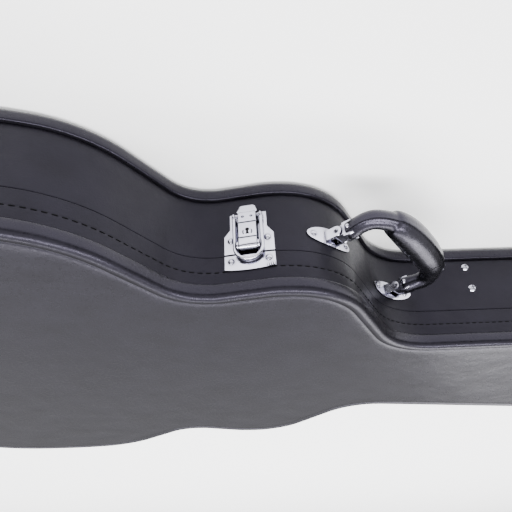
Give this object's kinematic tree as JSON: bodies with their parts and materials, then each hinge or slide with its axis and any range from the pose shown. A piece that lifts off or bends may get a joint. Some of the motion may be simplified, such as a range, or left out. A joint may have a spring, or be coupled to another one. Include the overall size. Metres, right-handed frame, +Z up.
{
  "type": "guitar case",
  "caption": "Hard-shell shaped guitar case with hinged lid, drawbolt latches, a lock, a padded carrying handle and a padded interior.",
  "frame": {"origin": "centre of the bounding box, on the underside the case rests on when it lies flat", "axes": "+X towards the tail end, -X towards the headstock end, -Y the front side with handle and latches, +Y the hinge side, +Z up through the lid"},
  "size_m": [1.1242, 0.4834, 0.107],
  "materials": {
    "black_vinyl": "grained, semi-gloss",
    "plywood": "sanded",
    "tongue_board": "flocked",
    "plush": "plush pile",
    "handle_vinyl": "smooth, glossy",
    "lock_brass": "polished",
    "chrome": "polished"
  },
  "bodies": {
    "base": {"accessory_box": "plush", "base_face_cover": "black_vinyl", "base_floor_pad": "plush", "base_panel": "plywood", "base_rim_core": "plywood", "base_side_padding": "plush", "base_wall": "plywood", "base_wall_cover": "black_vinyl", "bout_latch_plate": "chrome", "cradle_screws": "chrome", "handle_mount_head": "chrome", "handle_mount_rivets": "chrome", "handle_mount_tail": "chrome", "handle_pivot_pins": "chrome", "head_latch_plate": "chrome", "hinge_base_leaf_head": "chrome", "hinge_base_leaf_middle": "chrome", "hinge_base_leaf_tail": "chrome", "hinge_base_rivets": "chrome", "hinge_pins": "chrome", "latch_lever_pins": "chrome", "latch_plate_rivets": "chrome", "lock_latch_plate": "chrome", "neck_cradle": "plush", "neck_latch_plate": "chrome", "tail_latch_plate": "chrome"},
    "lid": {"bout_catch_plate": "chrome", "catch_plate_rivets": "chrome", "head_catch_plate": "chrome", "hinge_lid_leaf_head": "chrome", "hinge_lid_leaf_middle": "chrome", "hinge_lid_leaf_tail": "chrome", "hinge_lid_rivets": "chrome", "lid_face_cover": "black_vinyl", "lid_lining": "plush", "lid_panel": "plywood", "lid_rim_core": "plywood", "lid_tongue": "tongue_board", "lid_wall": "plywood", "lid_wall_cover": "black_vinyl", "lock_catch_plate": "chrome", "neck_catch_plate": "chrome", "tail_catch_plate": "chrome"},
    "handle": {"handle_strap": "handle_vinyl", "handle_grip": "handle_vinyl", "handle_links": "chrome", "handle_rivets": "chrome"},
    "accessory_lid": {"accessory_lid": "plush"},
    "lock_cylinder": {"lock_cylinder": "lock_brass", "lock_cam": "chrome"},
    "bout_latch_lever": {"bout_latch_lever": "chrome"},
    "bout_latch_bail": {"bout_latch_bail": "chrome"},
    "lock_latch_lever": {"lock_latch_lever": "chrome"},
    "lock_latch_bail": {"lock_latch_bail": "chrome"},
    "neck_latch_lever": {"neck_latch_lever": "chrome"},
    "neck_latch_bail": {"neck_latch_bail": "chrome"},
    "tail_latch_lever": {"tail_latch_lever": "chrome"},
    "tail_latch_bail": {"tail_latch_bail": "chrome"},
    "head_latch_lever": {"head_latch_lever": "chrome"},
    "head_latch_bail": {"head_latch_bail": "chrome"}
  },
  "joints": [
    {"name": "lid_hinge", "type": "hinge", "parent": "base", "child": "lid", "pos_m": [0.34649, 0.23603, 0.0697], "axis": [-0.9869, -0.1616, 0], "range_deg": [0, 110]},
    {"name": "handle_swing", "type": "hinge", "parent": "base", "child": "handle", "pos_m": [0.03555, -0.12628, 0.0513], "axis": [-0.6877, 0.726, 0], "range_deg": [-45, 55]},
    {"name": "bout_lever_turn", "type": "hinge", "parent": "base", "child": "bout_latch_lever", "pos_m": [0.3663, -0.2378, 0.0652], "axis": [-1, 0, 0], "range_deg": [0, 150]},
    {"name": "bout_bail_turn", "type": "hinge", "parent": "bout_latch_lever", "child": "bout_latch_bail", "pos_m": [0.3663, -0.2373, 0.0367], "axis": [-1, 0, 0], "range_deg": [-150, 0]},
    {"name": "lock_lever_turn", "type": "hinge", "parent": "base", "child": "lock_latch_lever", "pos_m": [0.14586, -0.16819, 0.0652], "axis": [-0.9641, -0.2656, 0], "range_deg": [0, 150]},
    {"name": "lock_bail_turn", "type": "hinge", "parent": "lock_latch_lever", "child": "lock_latch_bail", "pos_m": [0.14573, -0.16771, 0.0367], "axis": [-0.9641, -0.2656, 0], "range_deg": [-150, 0]},
    {"name": "neck_lever_turn", "type": "hinge", "parent": "base", "child": "neck_latch_lever", "pos_m": [-0.28722, -0.10479, 0.0652], "axis": [-0.9961, -0.0877, 0], "range_deg": [0, 150]},
    {"name": "neck_bail_turn", "type": "hinge", "parent": "neck_latch_lever", "child": "neck_latch_bail", "pos_m": [-0.28726, -0.10429, 0.0367], "axis": [-0.9961, -0.0877, 0], "range_deg": [-150, 0]},
    {"name": "tail_lever_turn", "type": "hinge", "parent": "base", "child": "tail_latch_lever", "pos_m": [0.5582, -0.002, 0.0652], "axis": [0, -1, 0], "range_deg": [0, 150]},
    {"name": "tail_bail_turn", "type": "hinge", "parent": "tail_latch_lever", "child": "tail_latch_bail", "pos_m": [0.5577, -0.002, 0.0367], "axis": [0, -1, 0], "range_deg": [-150, 0]},
    {"name": "head_lever_turn", "type": "hinge", "parent": "base", "child": "head_latch_lever", "pos_m": [-0.5582, -0.002, 0.0652], "axis": [0, 1, 0], "range_deg": [0, 150]},
    {"name": "head_bail_turn", "type": "hinge", "parent": "head_latch_lever", "child": "head_latch_bail", "pos_m": [-0.5577, -0.002, 0.0367], "axis": [0, 1, 0], "range_deg": [-150, 0]},
    {"name": "lock_cylinder_turn", "type": "hinge", "parent": "lock_latch_lever", "child": "lock_cylinder", "pos_m": [0.14663, -0.17099, 0.0537], "axis": [0.2656, -0.9641, 0], "range_deg": [0, 90]},
    {"name": "accessory_lid_hinge", "type": "hinge", "parent": "base", "child": "accessory_lid", "pos_m": [-0.1117, -0.002, 0.0375], "axis": [0, 1, 0], "range_deg": [0, 90]}
  ],
  "couplings": [
    {"joint": "bout_bail_turn", "follows": "bout_lever_turn", "ratio": -1},
    {"joint": "lock_bail_turn", "follows": "lock_lever_turn", "ratio": -1},
    {"joint": "neck_bail_turn", "follows": "neck_lever_turn", "ratio": -1},
    {"joint": "tail_bail_turn", "follows": "tail_lever_turn", "ratio": -1},
    {"joint": "head_bail_turn", "follows": "head_lever_turn", "ratio": -1}
  ]
}
